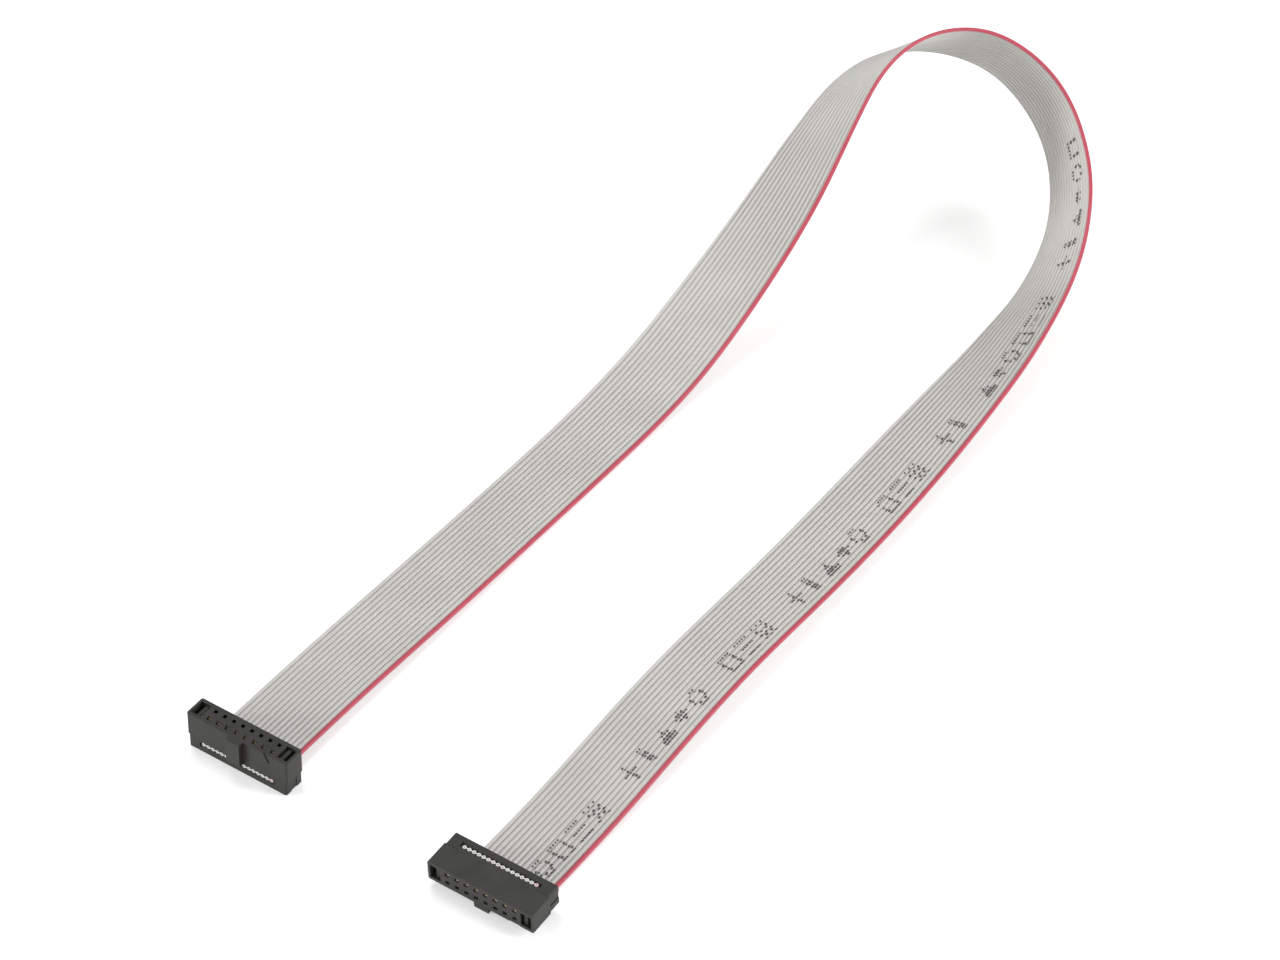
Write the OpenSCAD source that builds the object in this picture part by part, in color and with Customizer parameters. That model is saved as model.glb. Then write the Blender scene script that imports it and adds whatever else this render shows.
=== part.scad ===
// Flat ribbon cable with a two-row socket pressed on each end.
// The ribbon has one conductor every 1.27 mm, and the first one has a red jacket.
// Each socket has one pin hole for each conductor, 2.54 mm apart in two rows.
// Units are millimetres: X runs along the sockets, Y towards the loop and Z up.
// The left socket stands on its cover with its pin holes up. The right socket lies
// on its key with its pin holes towards -Y, and the ribbon folds away under it.

/* [Ribbon] */
// Number of conductors, which is also the number of pin holes in each socket
ways = 16; // [6:2:16]
// Distance from one conductor to the next
wire_pitch = 1.27; // [1.27:0.01:1.35]
// Thickness of the ribbon over a conductor
wire_d = 0.95; // [0.8:0.05:1.0]
// Thickness of the web between two conductors
web_t = 0.32; // [0.2:0.02:0.5]
// Diameter of the bare conductor
core_d = 0.38; // [0.3:0.02:0.42]
// Number of flat sides that each conductor is drawn with
core_sides = 3; // [3:1:8]
// How far each cut end of the ribbon lies inside its socket's face
cut_recess = 0.05; // [0.05:0.05:0.6]

/* [Socket] */
// Length of the socket beyond its last pin hole, at each end
end_margin = 5.11; // [5.1:0.05:6]
// Thickness of the socket, without its key
body_t = 5.7; // [5.6:0.1:6.4]
// Height of the socket, from the cover's back to the pin face
body_h = 9.9; // [9.6:0.1:11]
// Height of the cover at its two ends
cover_h = 3.6; // [3.4:0.1:4.2]
// How far the cover's ends lie inside the housing's ends
cover_inset = 0.35; // [0.1:0.05:0.6]
// Height of the ribbon's middle above the cover's back
wire_z = 2.3; // [2.2:0.05:2.6]
// Width of the 45 degree edges on the socket's upright corners
corner_c = 0.3; // [0.1:0.05:0.5]

/* [Key and mark] */
// Width of the key on the socket's long side
key_w = 3.8; // [3:0.1:5]
// How far the key stands out
key_out = 1.5; // [1:0.1:2]
// Length of the key, down from the pin face
key_l = 6.7; // [4:0.1:6.8]
// Width of the triangle that marks the first pin
mark_w = 2.8; // [1.5:0.1:3.2]
// Height of the triangle
mark_h = 2.6; // [1.5:0.1:3.5]
// Depth of the triangle
mark_d = 0.2; // [0.1:0.05:0.3]

/* [Pin holes] */
// Width of a pin hole
hole_w = 0.9; // [0.8:0.05:1.2]
// Width of a pin hole's mouth at the face
mouth_w = 1.2; // [1.1:0.05:1.8]
// Depth of the sloping mouth
mouth_d = 0.2; // [0.1:0.05:0.3]
// Thickness of the wall that the pin holes go through
face_t = 0.4; // [0.35:0.05:0.6]

/* [Contacts] */
// Thickness of the contact's sheet metal
metal_t = 0.2; // [0.15:0.01:0.25]
// Width of the two spring leaves
leaf_w = 0.9; // [0.7:0.05:1.0]
// Gap between the leaves at their root
root_gap = 0.84; // [0.7:0.02:0.9]
// Gap between the leaves where they grip a pin
grip_gap = 0.46; // [0.3:0.02:0.6]
// Gap between the leaves' flared tips
tip_gap = 1.0; // [0.8:0.02:1.04]
// Room between the longer leaf's tip and the wall with the pin holes
tip_clear = 0.1; // [0.05:0.05:0.2]
// Height of the leaves' root bend above the cover's back
root_z = 4.95; // [4.7:0.05:5.2]
// Depth below the pin face at which the leaves grip a pin
grip_depth = 2; // [1.5:0.05:2.3]
// Length of the straight stretch where the leaves grip a pin
land_l = 0.2; // [0.1:0.05:0.4]
// Length of the flared tips, which lead a pin in
flare_l = 0.3; // [0.2:0.05:0.4]
// Width of the web that each fork leaves standing on both its sides
web_left = 0.07; // [0.06:0.01:0.1]
// How far the fork's tips reach past the ribbon's middle
tine_reach = 1.45; // [1.2:0.05:1.5]
// Room around a contact inside its housing
room_clear = 0.13; // [0.08:0.01:0.15]
// Room between the fork and what it passes through
fork_clear = 0.03; // [0.02:0.01:0.05]

/* [Latches] */
// Thickness of the cover's two latch legs
leg_t = 0.95; // [0.8:0.05:1.0]
// Width of the latch legs across the socket
leg_w = 3.8; // [3:0.1:4]
// How far the legs' hooks stand out
hook_out = 0.35; // [0.2:0.05:0.4]
// Length of the hooks
hook_l = 1.3; // [0.9:0.1:1.5]
// How far the legs' ends lie below the pin face
leg_recess = 0.6; // [0.3:0.05:1]
// Thickness of the housing's end walls beside the hooks
end_wall = 0.65; // [0.5:0.05:0.8]
// Room on the legs' inner side, which lets them flex
leg_flex = 0.45; // [0.4:0.05:0.5]
// Gap around the legs, and between the housing and the cover
fit_gap = 0.05; // [0.03:0.01:0.1]
// Width of the grooves in the cover's ends
clip_groove_w = 1.9; // [1.2:0.1:2.4]
// Depth of the grooves in the cover's ends
clip_groove_d = 0.15; // [0.1:0.05:0.3]

/* [Wire slot] */
// Room beside the ribbon at each end of the slot that it passes through
slot_margin = 0.6; // [0.4:0.05:0.7]
// Room between the ribbon's ridges and the grooves that hold them
jaw_clear = 0.1; // [0.08:0.01:0.12]
// Gap between the jaws and the ribbon's webs
web_clear = 0.07; // [0.06:0.01:0.1]
// Depth to which the cover's jaw is sloped away at its two long sides
lip_drop = 0.85; // [0.5:0.05:1]
// Width of that slope
lip_w = 0.9; // [0.6:0.05:1.0]

/* [Layout] */
// Place of the left socket's middle along X
left_x = -34.25; // [-40:0.25:-30]
// Place of the left socket's middle along Y
left_y = -138; // [-142:0.5:-134]
// Place of the right socket's middle along X
right_x = 34.25; // [30:0.25:40]
// Place of the right socket's cover along Y
right_y = -133.7; // [-138:0.1:-130]
// How far the right socket leans on its key, in degrees
right_lean = 4.3; // [2:0.1:6]
// Height of the ribbon's middle where it lies flat behind the right socket
flat_z = 0.5; // [0.5:0.05:0.6]
// Length of the straight stretch behind the left socket
left_lead = 27; // [20:1:30]
// Length of the straight stretch behind the right socket
right_lead = 28; // [20:1:30]
// Number of steps in the fold under the right socket
fold_steps = 3; // [3:1:6]

/* [Hidden] */
$fn = 48;
columns = ways / 2;
pin_pitch = 2 * wire_pitch;
row_gap = pin_pitch;
body_l = (columns - 1) * pin_pitch + 2 * end_margin;
cover_l = body_l - 2 * cover_inset;
wire_r = wire_d / 2;
slot_w = (ways - 1) * wire_pitch + wire_d + 2 * slot_margin;
core_r = core_d / 2 * sqrt(2 * PI / (core_sides * sin(360 / core_sides)));
fork_slot_r = core_r + 0.01;
fork_r = wire_pitch / 2 - web_left;
tine_w = fork_r - fork_slot_r;
fork_y_off = root_gap / 2 + metal_t / 2;
room_w = leaf_w + 2 * room_clear;
room_t = root_gap + 2 * metal_t + 2 * room_clear;
jaw_r = wire_r + jaw_clear;
jaw_gap = web_t / 2 + web_clear;
wall_x = body_l / 2 - end_wall;
leg_x = slot_w / 2 + leg_flex + 2 * fit_gap;
hook_z = body_h - leg_recess - hook_l;
over = 0.5;

// Centre of the right socket's cover above the table: the key's tip touches it.
right_z = (body_t / 2 + key_out) * cos(right_lean) + body_h * sin(right_lean);
// Where the ribbon leaves the right socket, and the radius of its fold there.
right_exit = [
    right_x,
    right_y + body_t / 2 * sin(right_lean) - wire_z * cos(right_lean),
    right_z - body_t / 2 * cos(right_lean) - wire_z * sin(right_lean)
];
fold_r = (right_exit[2] - flat_z) / (1 - sin(right_lean));
fold_end = [right_x, right_exit[1] + fold_r * cos(right_lean), flat_z];
left_exit = [left_x, left_y + body_t / 2, wire_z];

// The ribbon's free route, as control points of a smooth curve: X, Y, Z and the
// angle in degrees by which the red edge has rolled over. It starts flat, rises
// into the loop on its grey edge and lies flat again with its other face up.
loop_route = [
    [-33.5, -73, 1.6, -1.5],
    [-33.5, -37, 0.6, 0],
    [-33, -2, 0.5, -1],
    [-32.5, 24, 3, -7],
    [-32.5, 44.5, 9, -4],
    [-32, 61, 16, 2],
    [-31.5, 75, 23.5, 9],
    [-31.5, 86.5, 30.5, 19],
    [-31.5, 96, 36, 28],
    [-31.5, 104.5, 40.5, 33],
    [-30, 114, 44, 38],
    [-26.5, 123.5, 45, 44],
    [-20.5, 132, 44, 52],
    [-13, 138.5, 41, 60],
    [-4.5, 141.5, 36.5, 70],
    [4, 141.5, 30.5, 84],
    [11.5, 138.5, 24.5, 98],
    [18, 132.5, 19, 110],
    [23, 125, 14.5, 120],
    [26.5, 116, 11, 129],
    [29, 106.5, 8.5, 137],
    [30.5, 97, 6.5, 144],
    [31.5, 86, 5.5, 152],
    [32.5, 74, 4.5, 159],
    [33, 60, 4, 166],
    [33.5, 45, 3.5, 172],
    [34, 26, 3, 178],
    [34.5, 1.5, 3, 180],
    [34.5, -25, 3.5, 178],
    [34, -51.5, 4.5, 177],
    [34, -78, 3.5, 180]
];

// The leads at both sockets are straight, so that the curve starts and ends there.
route = concat(
    [for (k = [-1:1]) concat(left_exit + [0, k * left_lead, 0], [0])],
    loop_route,
    [for (k = [1:-1:-1]) concat(fold_end + [0, k * right_lead, 0], [180])]
);

function unit(v) = v / norm(v);
function xyz(p) = [p[0], p[1], p[2]];

// Conductor 1 lies at the red edge, on the +X side of both sockets.
function wire_x(i) = ((ways + 1) / 2 - i) * wire_pitch;
// Odd contacts stand in the row beside the key, and even ones in the other row.
function row_side(i) = i % 2 == 1 ? -1 : 1;
function hole_x(i) = ((columns - 1) / 2 - floor((i - 1) / 2)) * pin_pitch;
function fork_x_off(i) = abs(wire_x(i) - hole_x(i));

// A ring of the ribbon is its middle, the direction of its red edge and the
// direction that its first face looks in.
function curve_ring(a, b, c) =
    let (
        mid = (a + 4 * b + c) / 6,
        along = unit(xyz(c) - xyz(a)),
        level = unit(cross(along, [0, 0, 1])),
        edge = cos(mid[3]) * level + sin(mid[3]) * cross(level, along)
    )
    [xyz(mid), edge, cross(edge, along)];

// The fold under the right socket, turned by a degrees from the flat stretch.
function fold_ring(a) = [
    fold_end + fold_r * [0, -sin(a), 1 - cos(a)],
    [1, 0, 0],
    [0, -sin(a), -cos(a)]
];

// The ribbon's rings, with its cut ends moved outwards by grow.
function ribbon_rings(grow = 0) =
    let (
        depth = body_t - cut_recess + grow,
        turn = 90 - right_lean,
        last = fold_ring(turn)
    )
    concat(
        [[left_exit - [0, depth, 0], [1, 0, 0], [0, 0, 1]]],
        [for (i = [1:len(route) - 2]) curve_ring(route[i - 1], route[i], route[i + 1])],
        [for (k = [1:fold_steps]) fold_ring(turn * k / fold_steps)],
        [[last[0] + depth * [0, -sin(right_lean), cos(right_lean)], last[1], last[2]]]
    );

// Outline of the grey jackets: one ridge for each wire on both faces.
grey_outline = concat(
    [[wire_x(ways) - wire_r * cos(30), -wire_r / 2]],
    [for (i = [ways:-1:2]) each [
        [wire_x(i), -wire_r],
        [wire_x(i) + wire_pitch / 2, -web_t / 2]
    ]],
    [for (i = [2:ways]) each [
        [wire_x(i) + wire_pitch / 2, web_t / 2],
        [wire_x(i), wire_r]
    ]],
    [[wire_x(ways) - wire_r * cos(30), wire_r / 2]]
);

// Outline of the red jacket, which meets the grey ones at the web's middle.
red_outline = [
    [wire_x(1) - wire_pitch / 2, -web_t / 2],
    [wire_x(1), -wire_r],
    [wire_x(1) + wire_r * cos(30), -wire_r / 2],
    [wire_x(1) + wire_r * cos(30), wire_r / 2],
    [wire_x(1), wire_r],
    [wire_x(1) - wire_pitch / 2, web_t / 2]
];

function core_outline(i) = [
    for (k = [0:core_sides - 1])
        let (a = 90 + 360 * k / core_sides)
        [wire_x(i) + core_r * cos(a), core_r * sin(a)]
];

module at_left() {
    translate([left_x, left_y, 0]) children();
}

module at_right() {
    translate([right_x, right_y, right_z]) rotate([90 + right_lean, 0, 0]) children();
}

// Puts a contact, or its room, at pin hole i: even ones are turned to face the odd.
module at_hole(i) {
    translate([hole_x(i), row_side(i) * row_gap / 2, 0])
        rotate([0, 0, row_side(i) > 0 ? 180 : 0])
            children();
}

// Joins one outline from ring to ring along the ribbon. Each patch is split from its
// higher point to the lower one of the next ring, so that neighbours share one surface.
module sweep(rings, outline) {
    n = len(outline);
    last = (len(rings) - 1) * n;
    polyhedron(
        points = [for (r = rings) for (p = outline) r[0] + p[0] * r[1] + p[1] * r[2]],
        faces = concat(
            [[for (j = [n - 1:-1:0]) j]],
            [for (a = [0:n:last - n]) for (j = [0:n - 1]) each
                let (k = (j + 1) % n, falls = outline[j][1] > outline[k][1])
                [
                    [a + j, a + k, a + n + (falls ? k : j)],
                    [falls ? a + j : a + k, a + n + k, a + n + j]
                ]],
            [[for (j = [0:n - 1]) last + j]]
        )
    );
}

// A block with 45 degree upright edges.
module chamfered_block(l, t, h) {
    linear_extrude(h)
        polygon([for (s = [[1, 1], [-1, 1], [-1, -1], [1, -1]])
            for (c = s[0] * s[1] > 0 ? [[0, 1], [1, 0]] : [[1, 0], [0, 1]])
                [s[0] * (l / 2 - c[0] * corner_c), s[1] * (t / 2 - c[1] * corner_c)]]);
}

// A bar across the socket, whose outline is drawn in the X and Z directions.
module across(outline, t) {
    rotate([90, 0, 0]) linear_extrude(t, center = true) polygon(outline);
}

// A square pin hole with a mouth that slopes inwards on all four sides.
module pin_hole() {
    profile = [
        [-hole_w / 2, -face_t - over], [hole_w / 2, -face_t - over],
        [hole_w / 2, -mouth_d], [mouth_w / 2, 0], [mouth_w / 2, over],
        [-mouth_w / 2, over], [-mouth_w / 2, 0], [-hole_w / 2, -mouth_d]
    ];
    intersection() {
        across(profile, mouth_w);
        rotate([0, 0, 90]) across(profile, mouth_w);
    }
}

// The space inside the housing for one contact: a shaft for its springs and a slit
// for its fork, both open towards the cover, where the contact goes in.
module contact_room(i) {
    depth = body_h - face_t;
    translate([-room_w / 2, -room_t / 2, 0]) cube([room_w, room_t, depth]);
    translate([0, fork_y_off - metal_t / 2 - fork_clear, 0])
        cube([fork_x_off(i) + fork_r + fork_clear, metal_t + 2 * fork_clear, shoulder_z(i) + fork_clear]);
}

function shoulder_z(i) = root_z + fork_x_off(i) + fork_r - leaf_w / 2;

// The pocket for one latch leg: a channel, and a wider chamber for its hook.
module latch_pocket() {
    channel_w = leg_x + leg_t + 2 * fit_gap - slot_w / 2;
    translate([slot_w / 2 + fit_gap, -leg_w / 2 - fit_gap, 0])
        cube([channel_w, leg_w + 2 * fit_gap, body_h + over]);
    translate([slot_w / 2 + fit_gap, -leg_w / 2 - fit_gap, hook_z - 2 * fit_gap])
        cube([wall_x - slot_w / 2 - fit_gap, leg_w + 2 * fit_gap, body_h]);
}

// The grooves that hold the ribbon's ridges, cut into both jaws.
module jaw_grooves() {
    for (i = [1:ways])
        translate([wire_x(i), 0, wire_z])
            rotate([90, 0, 0]) cylinder(r = jaw_r, h = body_t + 2 * over, center = true);
}

// The moulded housing with the pin holes, the key and the first pin's mark.
module housing() {
    jaw_z = wire_z + jaw_gap;
    color("#3a3a38")
        difference() {
            union() {
                translate([0, 0, cover_h + fit_gap])
                    chamfered_block(body_l, body_t, body_h - cover_h - fit_gap);
                translate([-slot_w / 2 + fit_gap, -body_t / 2, jaw_z])
                    cube([slot_w - 2 * fit_gap, body_t, cover_h]);
                translate([-key_w / 2, -body_t / 2 - key_out, body_h - key_l])
                    cube([key_w, key_out + over, key_l]);
            }
            for (i = [1:ways]) at_hole(i) {
                contact_room(i);
                translate([0, 0, body_h]) pin_hole();
            }
            jaw_grooves();
            for (s = [0, 1]) mirror([s, 0, 0]) latch_pocket();
            translate([hole_x(1), -body_t / 2, body_h])
                across([[-mark_w / 2, 0], [mark_w / 2, 0], [0, -mark_h]], 2 * mark_d);
        }
}

// A latch leg, whose hook snaps over the ledge in the housing's pocket.
module latch_leg() {
    x = leg_x + leg_t;
    top = body_h - leg_recess;
    across([
        [leg_x, cover_h - over], [x, cover_h - over], [x, hook_z],
        [x + hook_out, hook_z], [x + hook_out, hook_z + hook_out],
        [x, top], [leg_x, top]
    ], leg_w);
}

// The cover that presses the ribbon onto the forks, with its two latch legs.
module cover() {
    jaw_z = wire_z - jaw_gap;
    color("#30302f")
        difference() {
            union() {
                intersection() {
                    chamfered_block(cover_l, body_t, cover_h);
                    across([
                        [-cover_l / 2, 0], [cover_l / 2, 0], [cover_l / 2, cover_h],
                        [slot_w / 2, cover_h], [slot_w / 2, jaw_z], [-slot_w / 2, jaw_z],
                        [-slot_w / 2, cover_h], [-cover_l / 2, cover_h]
                    ], body_t);
                }
                for (s = [0, 1]) mirror([s, 0, 0]) latch_leg();
            }
            jaw_grooves();
            for (s = [0, 1]) mirror([0, s, 0])
                translate([0, body_t / 2, jaw_z])
                    rotate([90, 0, 90])
                        linear_extrude(slot_w, center = true)
                            polygon([[-lip_w, 0], [over, -lip_drop * (1 + over / lip_w)], [over, over], [-lip_w, over]]);
            for (i = [1:ways]) at_hole(i) fork_recess(i);
            for (s = [-1, 1]) translate([s * cover_l / 2, 0, cover_h / 2])
                cube([2 * clip_groove_d, clip_groove_w, cover_h + over], center = true);
        }
}

// The slit in the cover that takes one fork's tips.
module fork_recess(i) {
    w = 2 * (fork_r + fork_clear);
    t = metal_t + 2 * fork_clear;
    translate([fork_x_off(i) - w / 2, fork_y_off - t / 2, wire_z - tine_reach - 2 * fork_clear])
        cube([w, t, body_h]);
}

// One contact, stamped from sheet metal: two leaves grip the pin, the inner one longer,
// and a fork at the other end cuts through the ribbon and grips the conductor.
module contact(i) {
    x = fork_x_off(i);
    grip_z = body_h - grip_depth;
    slot_z = wire_z + core_r + metal_t;
    fork_z = wire_z - tine_reach;
    bevel = tine_w / 2;
    color("#c9a24a") {
        rotate([90, 0, 90]) linear_extrude(leaf_w, center = true) {
            difference() {
                translate([0, root_z]) circle(r = root_gap / 2 + metal_t);
                translate([0, root_z]) circle(r = root_gap / 2);
                translate([-room_t, root_z]) square([2 * room_t, room_t]);
            }
            for (s = [0, 1]) mirror([s, 0]) {
                tip_z = s == 0 ? body_h - face_t - tip_clear : grip_z + land_l + flare_l;
                polygon([
                    [root_gap / 2, root_z], [root_gap / 2 + metal_t, root_z],
                    [grip_gap / 2 + metal_t, grip_z], [grip_gap / 2 + metal_t, tip_z - flare_l],
                    [tip_gap / 2 + metal_t, tip_z], [tip_gap / 2, tip_z],
                    [grip_gap / 2, tip_z - flare_l], [grip_gap / 2, grip_z]
                ]);
            }
        }
        translate([0, fork_y_off, 0])
            across([
                [x - fork_r, fork_z + bevel], [x - fork_r + bevel, fork_z],
                [x - fork_slot_r, fork_z + 2 * bevel], [x - fork_slot_r, slot_z],
                [x + fork_slot_r, slot_z], [x + fork_slot_r, fork_z + 2 * bevel],
                [x + fork_r - bevel, fork_z], [x + fork_r, fork_z + bevel],
                [x + fork_r, root_z], [leaf_w / 2, shoulder_z(i)],
                [leaf_w / 2 - metal_t, shoulder_z(i)], [leaf_w / 2 - metal_t, root_z],
                [x - fork_r, root_z - metal_t]
            ], metal_t);
    }
}

// The part of the ribbon that one fork pushes aside.
module fork_gap(i) {
    w = 2 * (fork_r + fork_clear);
    t = metal_t + 2 * fork_clear;
    translate([wire_x(i), row_side(i) * (row_gap / 2 - fork_y_off), wire_z])
        hull() {
            translate([0, 0, wire_r]) cube([w, t, wire_r], center = true);
            translate([0, 0, -wire_r]) cube([w, t, wire_r], center = true);
        }
}

// Takes the conductors' bores and the forks' gaps from conductor first to last.
module pierced(first, last) {
    difference() {
        children();
        for (i = [first:last]) {
            sweep(ribbon_rings(over), core_outline(i));
            at_left() fork_gap(i);
            at_right() fork_gap(i);
        }
    }
}

// The grey jackets of conductors 2 and up, moulded in one piece with their webs.
module ribbon_insulation() {
    color("#c6c3bd") pierced(2, ways) sweep(ribbon_rings(), grey_outline);
}

// The red jacket of conductor 1, bonded to the grey ones.
module edge_insulation() {
    color("#d04a63") pierced(1, 1) sweep(ribbon_rings(), red_outline);
}

// One bare conductor, from end to end.
module conductor(i) {
    color("#aaa69c") sweep(ribbon_rings(), core_outline(i));
}

at_left() housing();  // left_housing
at_left() cover();  // left_cover
at_right() housing();  // right_housing
at_right() cover();  // right_cover
ribbon_insulation();
edge_insulation();
for (i = [1:ways]) {
    conductor(i);
    at_left() at_hole(i) contact(i);
    at_right() at_hole(i) contact(i);
}
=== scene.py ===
"""A flat ribbon cable with a socket on each end, laid in one loop on a pale table."""

import math
import random

import bmesh
import bpy
import numpy as np
from mathutils import Matrix, Vector


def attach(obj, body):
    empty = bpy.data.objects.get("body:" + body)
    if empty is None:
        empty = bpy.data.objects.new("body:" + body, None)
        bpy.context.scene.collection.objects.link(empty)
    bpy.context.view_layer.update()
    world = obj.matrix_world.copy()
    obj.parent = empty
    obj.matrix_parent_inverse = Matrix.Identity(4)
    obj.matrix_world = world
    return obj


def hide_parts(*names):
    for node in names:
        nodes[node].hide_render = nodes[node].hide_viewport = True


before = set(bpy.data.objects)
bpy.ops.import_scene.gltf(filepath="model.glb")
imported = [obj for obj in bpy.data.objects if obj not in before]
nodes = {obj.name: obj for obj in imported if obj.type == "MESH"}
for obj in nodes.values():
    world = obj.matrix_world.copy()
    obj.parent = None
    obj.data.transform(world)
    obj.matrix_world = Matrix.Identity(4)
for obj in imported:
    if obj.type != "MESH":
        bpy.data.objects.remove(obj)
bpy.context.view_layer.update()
scene = bpy.context.scene


# Camera
# A long lens looks down over the sockets and along the ribbon to its loop, from the
# side of the red wire. It stands about a metre from the cable.

AZIMUTH, ELEVATION, LEAN = (math.radians(a) for a in (33.45, 42.15, 1.525))
CAMERA_PLACE = (0.41058, -0.65543, 0.70055)
FOCAL_PIXELS = 4372
IMAGE_WIDTH = 1280
SENSOR_WIDTH = 36

camera_data = bpy.data.cameras.new("camera")
camera_data.sensor_width = SENSOR_WIDTH
camera_data.lens = SENSOR_WIDTH * FOCAL_PIXELS / IMAGE_WIDTH
camera = bpy.data.objects.new("camera", camera_data)
scene.collection.objects.link(camera)

back = Vector((
    math.sin(AZIMUTH) * math.cos(ELEVATION),
    -math.cos(AZIMUTH) * math.cos(ELEVATION),
    math.sin(ELEVATION),
))
level = Vector((math.cos(AZIMUTH), math.sin(AZIMUTH), 0))
upright = back.cross(level)
right = math.cos(LEAN) * level + math.sin(LEAN) * upright
up = -math.sin(LEAN) * level + math.cos(LEAN) * upright
camera.matrix_world = (
    Matrix.Translation(CAMERA_PLACE)
    @ Matrix((right, up, back)).transposed().to_4x4()
)
scene.camera = camera


# Grey jackets
# Fifteen round jackets and the thin webs between them, extruded in one piece from soft
# grey PVC. The ribbon leaves the left socket flat and rolls over in the raised loop. It
# comes back with its printed face up and folds under the right socket.

WAYS = 16
WIRE_PITCH = 0.00127
JACKET_RADIUS = 0.000475
WEB_THICKNESS = 0.00024
BORE_RADIUS = 0.0002
# How far the cut ends reach into the sockets.
CUT_DEPTH = 0.00565
RIGHT_LEAN = math.radians(4.3)
FOLD_RADIUS = 0.0016925
STEPS_PER_KNOT = 6
FOLD_STEPS = 8
JACKET_STEPS = 6
BORE_SIDES = 8
# Edges that are bent by more than this stay sharp.
SHARP_ANGLE = math.radians(38)
# Sizes that differ by less than this are the same.
ROUNDING = 1e-7
GREY = (0.60, 0.59, 0.56)
CUT_GREY = (0.70, 0.69, 0.65)
# The thin webs are painted darker: painted shade in the grooves between the jackets.
GROOVE_SHADE_GREY = (0.44, 0.43, 0.405)

LEFT_EXIT = Vector((-0.03425, -0.13515, 0.0023))
RIGHT_EXIT = Vector((0.03425, -0.13578, 0.0020656))
FOLD_END = Vector((0.03425, -0.134092, 0.0005))

# The route's control points: place, and the angle by which the red edge has rolled.
ROUTE = [
    (-0.03425, -0.16215, 0.0023, 0),
    (-0.03425, -0.13515, 0.0023, 0),
    (-0.03425, -0.10815, 0.0023, 0),
    (-0.0335, -0.073, 0.0016, -1.5),
    (-0.0335, -0.037, 0.0006, 0),
    (-0.033, -0.002, 0.0005, -1),
    (-0.0325, 0.024, 0.003, -7),
    (-0.0325, 0.0445, 0.009, -4),
    (-0.032, 0.061, 0.016, 2),
    (-0.0315, 0.075, 0.0235, 9),
    (-0.0315, 0.0865, 0.0305, 19),
    (-0.0315, 0.096, 0.036, 28),
    (-0.0315, 0.1045, 0.0405, 33),
    (-0.03, 0.114, 0.044, 38),
    (-0.0265, 0.1235, 0.045, 44),
    (-0.0205, 0.132, 0.044, 52),
    (-0.013, 0.1385, 0.041, 60),
    (-0.0045, 0.1415, 0.0365, 70),
    (0.004, 0.1415, 0.0305, 84),
    (0.0115, 0.1385, 0.0245, 98),
    (0.018, 0.1325, 0.019, 110),
    (0.023, 0.125, 0.0145, 120),
    (0.0265, 0.116, 0.011, 129),
    (0.029, 0.1065, 0.0085, 137),
    (0.0305, 0.097, 0.0065, 144),
    (0.0315, 0.086, 0.0055, 152),
    (0.0325, 0.074, 0.0045, 159),
    (0.033, 0.06, 0.004, 166),
    (0.0335, 0.045, 0.0035, 172),
    (0.034, 0.026, 0.003, 178),
    (0.0345, 0.0015, 0.003, 180),
    (0.0345, -0.025, 0.0035, 178),
    (0.034, -0.0515, 0.0045, 177),
    (0.034, -0.078, 0.0035, 180),
    (0.03425, -0.106092, 0.0005, 180),
    (0.03425, -0.134092, 0.0005, 180),
    (0.03425, -0.162092, 0.0005, 180),
]


def wire_x(wire):
    """Place of a wire across the ribbon. Wire 1 is the red one, at the +X edge."""
    return ((WAYS + 1) / 2 - wire) * WIRE_PITCH


def route_ring(knot, t):
    """Middle, red edge's direction and first face's direction, t of the way past a knot."""
    a, b, c, d = (np.array(row) for row in ROUTE[knot - 1:knot + 3])
    place = (
        a * (1 - t) ** 3
        + b * (3 * t ** 3 - 6 * t ** 2 + 4)
        + c * (-3 * t ** 3 + 3 * t ** 2 + 3 * t + 1)
        + d * t ** 3
    ) / 6
    slope = (
        -a * (1 - t) ** 2
        + b * (3 * t ** 2 - 4 * t)
        + c * (-3 * t ** 2 + 2 * t + 1)
        + d * t ** 2
    ) / 2
    along = Vector(slope[:3]).normalized()
    flat = along.cross(Vector((0, 0, 1))).normalized()
    roll = math.radians(place[3])
    edge = math.cos(roll) * flat + math.sin(roll) * flat.cross(along)
    return Vector(place[:3]), edge, edge.cross(along)


def fold_ring(angle):
    """The same for the fold under the right socket, turned by angle from the flat."""
    middle = FOLD_END + FOLD_RADIUS * Vector((0, -math.sin(angle), 1 - math.cos(angle)))
    return middle, Vector((1, 0, 0)), Vector((0, -math.sin(angle), -math.cos(angle)))


def ribbon_rings():
    """Every ring of the ribbon, from its left cut end to its right one."""
    flat_end = (LEFT_EXIT - Vector((0, CUT_DEPTH, 0)), Vector((1, 0, 0)), Vector((0, 0, 1)))
    rings = [flat_end]
    for knot in range(1, len(ROUTE) - 2):
        rings += [route_ring(knot, k / STEPS_PER_KNOT) for k in range(STEPS_PER_KNOT)]
    turn = math.pi / 2 - RIGHT_LEAN
    rings += [fold_ring(turn * k / FOLD_STEPS) for k in range(FOLD_STEPS + 1)]
    last = rings[-1]
    inwards = Vector((0, -math.sin(RIGHT_LEAN), math.cos(RIGHT_LEAN)))
    rings.append((last[0] + CUT_DEPTH * inwards, last[1], last[2]))
    return rings


RINGS = ribbon_rings()


def arc(centre, radius, start, end, steps):
    """Points on an arc in the ribbon's section, with its angles in degrees."""
    angles = [math.radians(start + (end - start) * k / steps) for k in range(steps + 1)]
    return [(centre + radius * math.cos(a), radius * math.sin(a)) for a in angles]


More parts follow.
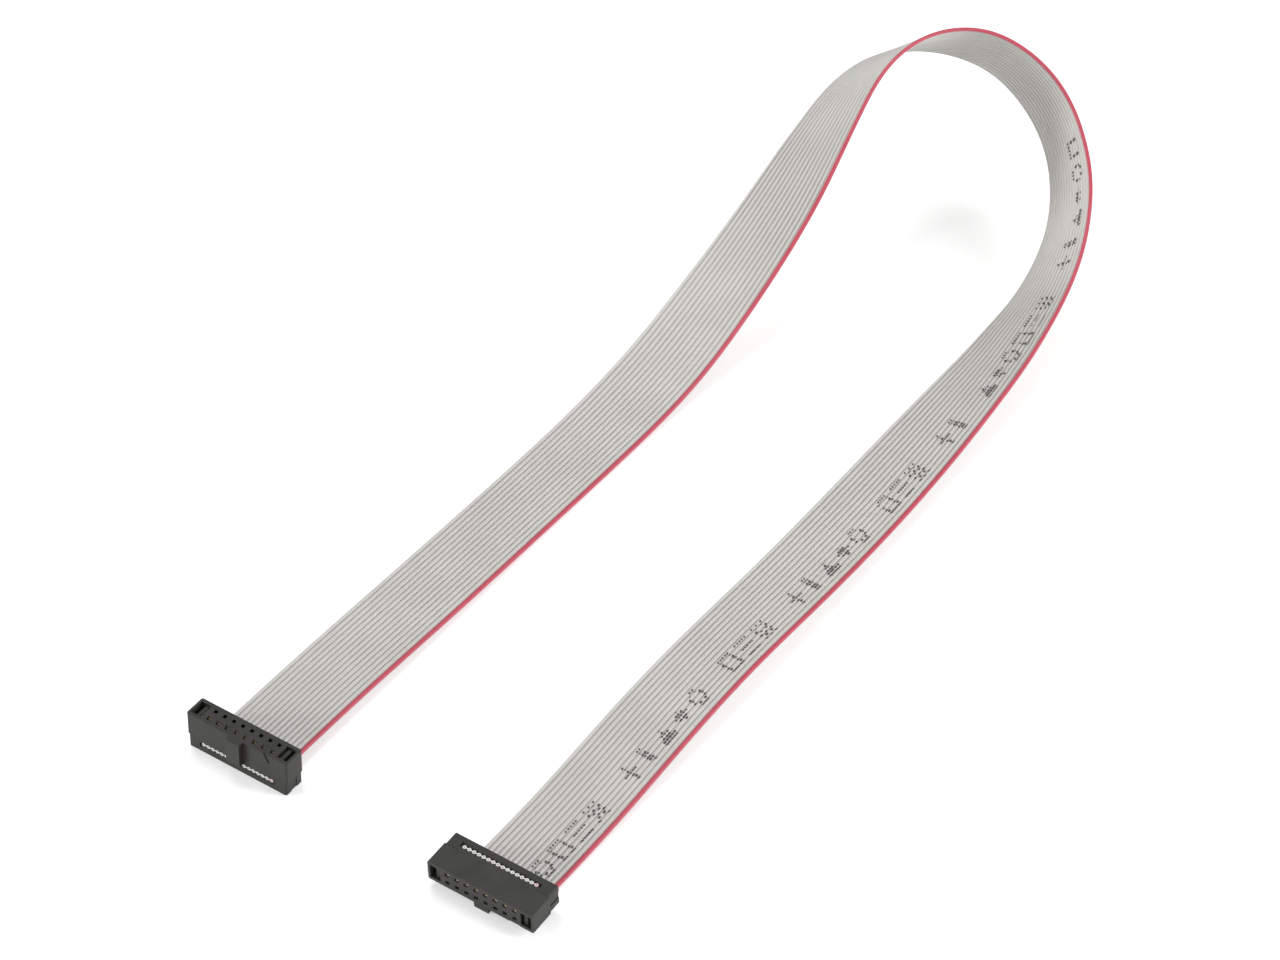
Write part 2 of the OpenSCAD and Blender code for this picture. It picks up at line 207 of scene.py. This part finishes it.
def jackets_section(first, last):
    """Outline round the jackets from wire first to wire last, cut in the webs."""
    web_angle = math.degrees(math.asin(WEB_THICKNESS / 2 / JACKET_RADIUS))
    lower, upper = [], []
    for wire in range(last, first - 1, -1):
        start = 180 if wire == WAYS else 180 + web_angle
        end = 360 if wire == 1 else 360 - web_angle
        points = arc(wire_x(wire), JACKET_RADIUS, start, end, JACKET_STEPS)
        if wire == 1:
            points = [(wire_x(1) - WIRE_PITCH / 2, -WEB_THICKNESS / 2)] + points
        if wire == 2:
            points.append((wire_x(2) + WIRE_PITCH / 2, -WEB_THICKNESS / 2))
        lower += points
        upper += [(x, -y) for x, y in points if abs(y) > ROUNDING]
    return lower + upper[::-1]


def bore(wire):
    """Outline of the hole through a jacket, in which its strands lie."""
    last_angle = 360 - 360 / BORE_SIDES
    return arc(wire_x(wire), BORE_RADIUS, 0, last_angle, BORE_SIDES - 1)


def sweep(name, materials, section, holes=()):
    """A closed mesh of a section with round holes, carried along the rings.

    The first material is on the sides and the last one on the two cut ends. A third
    one between them is on the webs, and paints shade into the grooves between the jackets.
    """
    mesh = bmesh.new()
    ends = ([], [])
    for outline, is_hole in [(section, False)] + [(hole, True) for hole in holes]:
        loops = [
            [mesh.verts.new(middle + x * edge + y * face) for x, y in outline]
            for middle, edge, face in RINGS
        ]
        count = len(outline)
        sides = list(zip(outline, outline[1:] + outline[:1]))
        # Faces on the webs take the middle material, which is painted shade for the grooves.
        on_shaded_web = [
            len(materials) == 3 and not is_hole
            and a[0] != b[0]
            and max(abs(a[1]), abs(b[1])) < WEB_THICKNESS / 2 + ROUNDING
            for a, b in sides
        ]
        for near, far in zip(loops, loops[1:]):
            for j in range(count):
                k = (j + 1) % count
                corners = (near[j], near[k], far[k], far[j])
                face = mesh.faces.new(corners[::-1] if is_hole else corners)
                face.material_index = int(on_shaded_web[j])
        for end, loop in zip(ends, (loops[0], loops[-1])):
            end += [mesh.edges.get((loop[j], loop[(j + 1) % count])) for j in range(count)]
    for end in ends:
        filled = bmesh.ops.triangle_fill(mesh, use_beauty=True, edges=end)["geom"]
        for face in filled:
            if isinstance(face, bmesh.types.BMFace):
                face.material_index = len(materials) - 1
    bmesh.ops.recalc_face_normals(mesh, faces=mesh.faces)
    data = bpy.data.meshes.new(name)
    mesh.to_mesh(data)
    mesh.free()
    for material in materials:
        data.materials.append(material)
    data.shade_smooth()
    data.set_sharp_from_angle(angle=SHARP_ANGLE)
    piece = bpy.data.objects.new(name, data)
    scene.collection.objects.link(piece)
    return piece


def soft_pvc(name, colour, streak):
    """Extruded PVC: a soft sheen, faint cloudy patches and fine dimples."""
    material = bpy.data.materials.new(name)
    material.use_nodes = True
    tree = material.node_tree
    add, link = tree.nodes.new, tree.links.new
    shader = tree.nodes["Principled BSDF"]
    shader.inputs["Specular IOR Level"].default_value = 0.4
    shader.inputs["Roughness"].default_value = 0.42
    place = add("ShaderNodeTexCoord")
    clouds = add("ShaderNodeTexNoise")
    clouds.inputs["Scale"].default_value = 90
    clouds.inputs["Detail"].default_value = 4
    tint = add("ShaderNodeValToRGB")
    tint.color_ramp.elements[0].position = 0.3
    tint.color_ramp.elements[0].color = (*(c * (1 - streak) for c in colour), 1)
    tint.color_ramp.elements[1].position = 0.7
    tint.color_ramp.elements[1].color = (*(c * (1 + streak) for c in colour), 1)
    dimples = add("ShaderNodeTexNoise")
    dimples.inputs["Scale"].default_value = 2600
    bump = add("ShaderNodeBump")
    bump.inputs["Strength"].default_value = 0.12
    bump.inputs["Distance"].default_value = 0.0001
    link(place.outputs["Object"], clouds.inputs["Vector"])
    link(clouds.outputs["Fac"], tint.inputs["Fac"])
    link(tint.outputs["Color"], shader.inputs["Base Color"])
    link(place.outputs["Object"], dimples.inputs["Vector"])
    link(dimples.outputs["Fac"], bump.inputs["Height"])
    link(bump.outputs["Normal"], shader.inputs["Normal"])
    return material


grey_bores = [bore(wire) for wire in range(2, WAYS + 1)]
grey_pvc = soft_pvc("grey_pvc", GREY, 0.035)
cut_grey_pvc = soft_pvc("cut_grey_pvc", CUT_GREY, 0.02)
# Painted shade: the webs are darker so that the grooves between the jackets look shaded.
groove_shade_pvc = soft_pvc("groove_shade_pvc", GROOVE_SHADE_GREY, 0.03)
jackets = sweep(
    "ribbon_jackets", [grey_pvc, groove_shade_pvc, cut_grey_pvc], jackets_section(2, WAYS), grey_bores
)
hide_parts("ribbon_insulation")
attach(jackets, "root")


# Red jacket
# The first conductor's jacket, extruded together with the grey ones. Its pale PVC has
# a red skin, which marks the side of the first pin on both sockets.

RED = (0.54, 0.075, 0.115)
CUT_RED = (0.72, 0.52, 0.54)

red_pvc = soft_pvc("red_pvc", RED, 0.05)
cut_red_pvc = soft_pvc("cut_red_pvc", CUT_RED, 0.03)
red_jacket = sweep("red_jacket", [red_pvc, cut_red_pvc], jackets_section(1, 1), [bore(1)])
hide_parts("edge_insulation")
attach(red_jacket, "root")


# Conductors
# Each jacket holds strands of tinned copper, seven to a wire. Their cut ends show in
# the slots of both sockets, level with the jackets.

STRAND_LOBES = 6
POINTS_PER_LOBE = 3
LOBE_RADIUS = 0.00019
VALLEY_RADIUS = 0.00016
TINNED = (0.24, 0.225, 0.205)


def strands_section(wire):
    """Outline round a bundle of strands: one lobe for each outer strand."""
    points = []
    count = STRAND_LOBES * POINTS_PER_LOBE
    for k in range(count):
        angle = 2 * math.pi * k / count
        radius = LOBE_RADIUS if k % POINTS_PER_LOBE else VALLEY_RADIUS
        points.append((wire_x(wire) + radius * math.cos(angle), radius * math.sin(angle)))
    return points


tinned_copper = bpy.data.materials.new("tinned_copper")
tinned_copper.use_nodes = True
tinned_shader = tinned_copper.node_tree.nodes["Principled BSDF"]
tinned_shader.inputs["Base Color"].default_value = (*TINNED, 1)
tinned_shader.inputs["Metallic"].default_value = 1
tinned_shader.inputs["Roughness"].default_value = 0.35
strand_grain = tinned_copper.node_tree.nodes.new("ShaderNodeTexNoise")
strand_grain.inputs["Scale"].default_value = 4000
strand_bump = tinned_copper.node_tree.nodes.new("ShaderNodeBump")
strand_bump.inputs["Strength"].default_value = 0.4
strand_bump.inputs["Distance"].default_value = 0.00005
tinned_copper.node_tree.links.new(strand_grain.outputs["Fac"], strand_bump.inputs["Height"])
tinned_copper.node_tree.links.new(strand_bump.outputs["Normal"], tinned_shader.inputs["Normal"])

for wire in range(1, WAYS + 1):
    strands = sweep(f"strands_{wire}", [tinned_copper], strands_section(wire))
    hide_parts(f"conductor_{wire}")
    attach(strands, "root")

right_socket = [nodes["right_housing"], nodes["right_cover"]]
right_socket += [nodes[f"right_contact_{i}"] for i in range(1, WAYS + 1)]


# Ink marks
# A line of plain dotted shapes is sprayed along the ribbon, beside the red edge, while
# it runs past the printer. The dots nearly join, and fade away from the red edge.

INK = (0.03, 0.028, 0.025)
FADED_INK = (0.16, 0.155, 0.14)
MARK_PITCH = 0.0067
# Where the first shape starts, along the ribbon from the right socket.
FIRST_MARK = 0.0085
DOT_PITCH_ALONG = 0.00095
DOT_PITCH_ACROSS = 0.00074
DOT_LENGTH = 0.00095
DOT_WIDTH = 0.0006
DOT_SIDES = 10
# The dots' size away from the red edge, how much they grow with each row towards it,
# and how far they vary in size and wander along the ribbon.
SMALLEST_DOT = 0.75
DOT_GROWTH = 0.06
DOT_VARIATION = 0.1
DOT_WANDER = 0.00006
# The share of dots that the nozzle misses.
MISSED_DOTS = 0.03
MARKS_MIDDLE = wire_x(1) - 0.0052
INK_LIFT = 0.000015
# How many shapes stand in each group, from the right socket back to the loop.
MARK_GROUPS = (4, 5, 3, 5, 3, 2, 6, 6)
MARK_COLUMNS = 5
MARK_ROWS = 7
# Which dots each shape has, by column along the ribbon and row across it: a ring, a
# bar, three dashes, a diamond, a plus sign, a frame, steps and a chequered block.
MARK_SHAPES = (
    lambda c, r: abs(math.hypot((c - 2) / 2, (r - 3) / 3) - 1) < 0.2,
    lambda c, r: c in (1, 2),
    lambda c, r: r in (0, 3, 6),
    lambda c, r: abs(c - 2) + abs(r - 3) < 3,
    lambda c, r: r == 3 or c == 2,
    lambda c, r: c in (0, 4) or r in (0, 6),
    lambda c, r: r >= 2 * abs(c - 2) + 1,
    lambda c, r: (c + r) % 2 == 0,
)
# How far the next shape lies along that list, so that neighbours look unlike.
SHAPE_STEP = 5


def ridge_height(x):
    """Height of the jackets' surface above the ribbon's middle, at x across it."""
    wire = round((wire_x(1) - x) / WIRE_PITCH) + 1
    off = abs(x - wire_x(wire))
    if off >= math.sqrt(JACKET_RADIUS ** 2 - (WEB_THICKNESS / 2) ** 2):
        return WEB_THICKNESS / 2
    return math.sqrt(JACKET_RADIUS ** 2 - off ** 2)


def printed_face():
    """A function giving the printed face's point at a length from the right end."""
    rings = RINGS[1:-1][::-1]
    reached = [0.0]
    for a, b in zip(rings, rings[1:]):
        reached.append(reached[-1] + (b[0] - a[0]).length)

    def point(length, x):
        k = max(1, min(int(np.searchsorted(reached, length)), len(rings) - 1))
        t = (length - reached[k - 1]) / (reached[k] - reached[k - 1])
        middle, edge, face = (rings[k - 1][i].lerp(rings[k][i], t) for i in range(3))
        return middle + x * edge - (ridge_height(x) + INK_LIFT) * face.normalized()

    return point


def ink_dot(mesh, point, length, x, share):
    """One dot of ink, smeared along the ribbon and shaped to the ridge it lies on."""
    centre = mesh.verts.new(point(length, x))
    rims = []
    for part in (share / 4, share / 2):
        turns = [2 * math.pi * k / DOT_SIDES for k in range(DOT_SIDES)]
        rims.append([
            mesh.verts.new(point(
                length + part * DOT_LENGTH * math.cos(a), x + part * DOT_WIDTH * math.sin(a)
            ))
            for a in turns
        ])
    for k in range(DOT_SIDES):
        n = (k + 1) % DOT_SIDES
        mesh.faces.new((centre, rims[0][k], rims[0][n]))
        mesh.faces.new((rims[0][k], rims[1][k], rims[1][n], rims[0][n]))


ink_mesh = bmesh.new()
ink_random = random.Random(7)
face_point = printed_face()
mark_start = FIRST_MARK
mark_number = 0
for group in MARK_GROUPS:
    for _ in range(group):
        shape = MARK_SHAPES[mark_number * SHAPE_STEP % len(MARK_SHAPES)]
        mark_number += 1
        for column in range(MARK_COLUMNS):
            for row in range(MARK_ROWS):
                if shape(column, row) and ink_random.random() > MISSED_DOTS:
                    wander = ink_random.gauss(0, DOT_WANDER)
                    size = SMALLEST_DOT + DOT_GROWTH * row
                    size *= ink_random.uniform(1 - DOT_VARIATION, 1 + DOT_VARIATION)
                    ink_dot(
                        ink_mesh,
                        face_point,
                        mark_start + column * DOT_PITCH_ALONG + wander,
                        MARKS_MIDDLE + (row - MARK_ROWS // 2) * DOT_PITCH_ACROSS,
                        size,
                    )
        mark_start += MARK_PITCH
    mark_start += MARK_PITCH

ink_data = bpy.data.meshes.new("ink_marks")
ink_mesh.to_mesh(ink_data)
ink_mesh.free()
ink_marks = bpy.data.objects.new("ink_marks", ink_data)
scene.collection.objects.link(ink_marks)
ink = bpy.data.materials.new("ink")
ink.use_nodes = True
ink_tree = ink.node_tree
ink_shader = ink_tree.nodes["Principled BSDF"]
ink_shader.inputs["Roughness"].default_value = 0.6
ink_patches = ink_tree.nodes.new("ShaderNodeTexNoise")
ink_patches.inputs["Scale"].default_value = 900
ink_fade = ink_tree.nodes.new("ShaderNodeValToRGB")
ink_fade.color_ramp.elements[0].position = 0.35
ink_fade.color_ramp.elements[0].color = (*INK, 1)
ink_fade.color_ramp.elements[1].position = 0.7
ink_fade.color_ramp.elements[1].color = (*FADED_INK, 1)
ink_tree.links.new(ink_patches.outputs["Fac"], ink_fade.inputs["Fac"])
ink_tree.links.new(ink_fade.outputs["Color"], ink_shader.inputs["Base Color"])
ink_data.materials.append(ink)
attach(ink_marks, "root")


# Sockets
# Each socket is a moulded housing and a snap-on cover, both of black glass-filled
# plastic with a fine spark-eroded surface and slightly worn, rounded edges.

BLACK = (0.030, 0.029, 0.026)
# The covers come from a slightly darker batch.
COVER_SHADE = 0.9
# How much the plastic's colour sinks and rises in its flow patches.
DARK_PATCH = 0.8
PALE_PATCH = 1.25
EDGE_RADIUS = 0.00012


def moulded_plastic(name, colour):
    """Glass-filled plastic: a dull grain, and edges that catch the light."""
    material = bpy.data.materials.new(name)
    material.use_nodes = True
    tree = material.node_tree
    add, link = tree.nodes.new, tree.links.new
    shader = tree.nodes["Principled BSDF"]
    shader.inputs["Roughness"].default_value = 0.52
    shader.inputs["Specular IOR Level"].default_value = 0.3
    place = add("ShaderNodeTexCoord")
    flow = add("ShaderNodeTexNoise")
    flow.inputs["Scale"].default_value = 160
    flow.inputs["Detail"].default_value = 5
    tint = add("ShaderNodeValToRGB")
    tint.color_ramp.elements[0].position = 0.3
    tint.color_ramp.elements[0].color = (*(DARK_PATCH * c for c in colour), 1)
    tint.color_ramp.elements[1].position = 0.75
    tint.color_ramp.elements[1].color = (*(PALE_PATCH * c for c in colour), 1)
    grain = add("ShaderNodeTexNoise")
    grain.inputs["Scale"].default_value = 3500
    grain.inputs["Detail"].default_value = 3
    rounded = add("ShaderNodeBevel")
    rounded.samples = 4
    rounded.inputs["Radius"].default_value = EDGE_RADIUS
    bump = add("ShaderNodeBump")
    bump.inputs["Strength"].default_value = 0.35
    bump.inputs["Distance"].default_value = 0.00006
    link(place.outputs["Object"], flow.inputs["Vector"])
    link(flow.outputs["Fac"], tint.inputs["Fac"])
    link(tint.outputs["Color"], shader.inputs["Base Color"])
    link(place.outputs["Object"], grain.inputs["Vector"])
    link(grain.outputs["Fac"], bump.inputs["Height"])
    link(rounded.outputs["Normal"], bump.inputs["Normal"])
    link(bump.outputs["Normal"], shader.inputs["Normal"])
    return material


housing_plastic = moulded_plastic("housing_plastic", BLACK)
cover_plastic = moulded_plastic("cover_plastic", tuple(COVER_SHADE * c for c in BLACK))
for side in ("left", "right"):
    for part, plastic in (("housing", housing_plastic), ("cover", cover_plastic)):
        for material_slot in nodes[f"{side}_{part}"].material_slots:
            material_slot.material = plastic


# Contacts
# One stamped contact stands behind each pin hole. Its two leaves are gold plated, and
# its fork cuts through a jacket to grip the strands.

GOLD = (0.95, 0.76, 0.45)

gold = bpy.data.materials.new("gold_plate")
gold.use_nodes = True
gold_tree = gold.node_tree
gold_shader = gold_tree.nodes["Principled BSDF"]
gold_shader.inputs["Base Color"].default_value = (*GOLD, 1)
gold_shader.inputs["Metallic"].default_value = 1
gold_roughness = gold_tree.nodes.new("ShaderNodeMapRange")
gold_roughness.inputs["To Min"].default_value = 0.4
gold_roughness.inputs["To Max"].default_value = 0.6
gold_scuffs = gold_tree.nodes.new("ShaderNodeTexNoise")
gold_scuffs.inputs["Scale"].default_value = 1500
gold_tree.links.new(gold_scuffs.outputs["Fac"], gold_roughness.inputs["Value"])
gold_tree.links.new(gold_roughness.outputs["Result"], gold_shader.inputs["Roughness"])
for side in ("left", "right"):
    for i in range(1, WAYS + 1):
        for material_slot in nodes[f"{side}_contact_{i}"].material_slots:
            material_slot.material = gold


# Table and light
# A pale table in an even room, with soft lamps above, low on both sides of the ribbon
# and low in front of its loop.

TABLE_HALF = 4
TABLE_DROP = 0.00012
# How much brighter the table looks, directly and in reflections, than its paint is lit.
TABLE_GLOW = 0.4
ROOM_LIGHT = 0.36

table_corners = [
    (x * TABLE_HALF, y * TABLE_HALF, -TABLE_DROP) for x, y in ((-1, -1), (1, -1), (1, 1), (-1, 1))
]
table_data = bpy.data.meshes.new("table")
table_data.from_pydata(table_corners, [], [(0, 1, 2, 3)])
table = bpy.data.objects.new("table", table_data)
scene.collection.objects.link(table)
table_paint = bpy.data.materials.new("table_paint")
table_paint.use_nodes = True
paint_tree = table_paint.node_tree
paint_shader = paint_tree.nodes["Principled BSDF"]
paint_shader.inputs["Base Color"].default_value = (0.9, 0.9, 0.9, 1)
paint_shader.inputs["Roughness"].default_value = 0.9
paint_shader.inputs["Specular IOR Level"].default_value = 0
paint_shader.inputs["Emission Color"].default_value = (1, 1, 1, 1)
looks = paint_tree.nodes.new("ShaderNodeLightPath")
seen = None
for way in ("Is Camera Ray", "Is Glossy Ray", "Is Transmission Ray"):
    glow = paint_tree.nodes.new("ShaderNodeMath")
    glow.operation = "MULTIPLY_ADD"
    glow.inputs[1].default_value = TABLE_GLOW
    glow.inputs[2].default_value = 0
    paint_tree.links.new(looks.outputs[way], glow.inputs[0])
    if seen:
        paint_tree.links.new(seen.outputs[0], glow.inputs[2])
    seen = glow
paint_tree.links.new(seen.outputs[0], paint_shader.inputs["Emission Strength"])
table_data.materials.append(table_paint)

room = bpy.data.worlds.new("room")
room.use_nodes = True
room.node_tree.nodes["Background"].inputs["Color"].default_value = (1, 1, 1, 1)
room.node_tree.nodes["Background"].inputs["Strength"].default_value = ROOM_LIGHT
scene.world = room


def soft_lamp(name, place, size, power):
    """A square soft lamp that points at the middle of the cable."""
    data = bpy.data.lights.new(name, "AREA")
    data.size = size
    data.energy = power
    lamp = bpy.data.objects.new(name, data)
    lamp.location = place
    lamp.rotation_euler = (-Vector(place)).to_track_quat("-Z", "Y").to_euler()
    scene.collection.objects.link(lamp)


soft_lamp("front_lamp", (-0.9, -1.0, 0.3), 0.35, 9)
soft_lamp("top_lamp", (-0.5, 0.2, 1.1), 0.5, 5)
soft_lamp("back_lamp", (1.0, 0.4, 0.5), 0.5, 9)
soft_lamp("loop_lamp", (0.2, -1.3, 0.22), 0.4, 3)

scene.view_settings.view_transform = "Standard"
